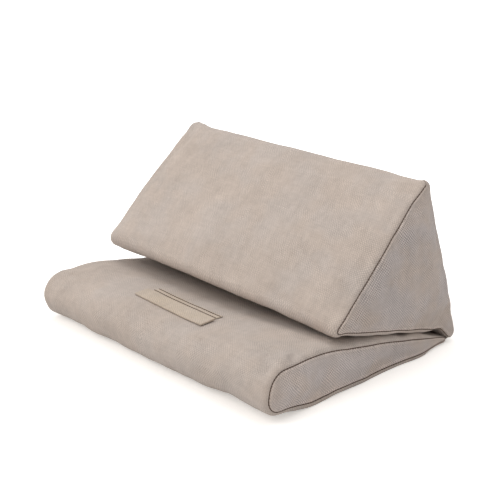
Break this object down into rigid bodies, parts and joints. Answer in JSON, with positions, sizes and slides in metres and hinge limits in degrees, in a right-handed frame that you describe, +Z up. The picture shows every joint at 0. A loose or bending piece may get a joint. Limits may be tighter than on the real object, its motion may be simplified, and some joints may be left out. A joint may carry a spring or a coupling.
{
  "type": "tablet cushion stand",
  "caption": "Canvas-covered foam wedge hinged in cloth to a teardrop base cushion, with a stiffened ledge that stops a tablet leaning on the wedge.",
  "frame": {"origin": "on the floor, under the middle of the stand's box", "axes": "+Z up, +X to the user's right along the cushions' width, -Y towards the user and the round nose of the base"},
  "size_m": [0.3328, 0.2498, 0.172],
  "materials": {
    "canvas": "stone-washed cotton canvas, warm sand",
    "canvas_side": "the same canvas, washed a little greyer, on the side panels",
    "foam": "open-cell foam block",
    "filling": "polyester fibre filling",
    "board": "stiff plastic sheet"
  },
  "bodies": {
    "root": {"wedge_wrap": "canvas", "wedge_gusset_left": "canvas_side", "wedge_gusset_right": "canvas_side", "wedge_foam": "foam", "base_wrap": "canvas", "base_gusset_left": "canvas_side", "base_gusset_right": "canvas_side", "base_fill": "filling", "hinge_cloth": "canvas", "ledge_sleeve": "canvas", "ledge_board": "board"}
  },
  "joints": []
}
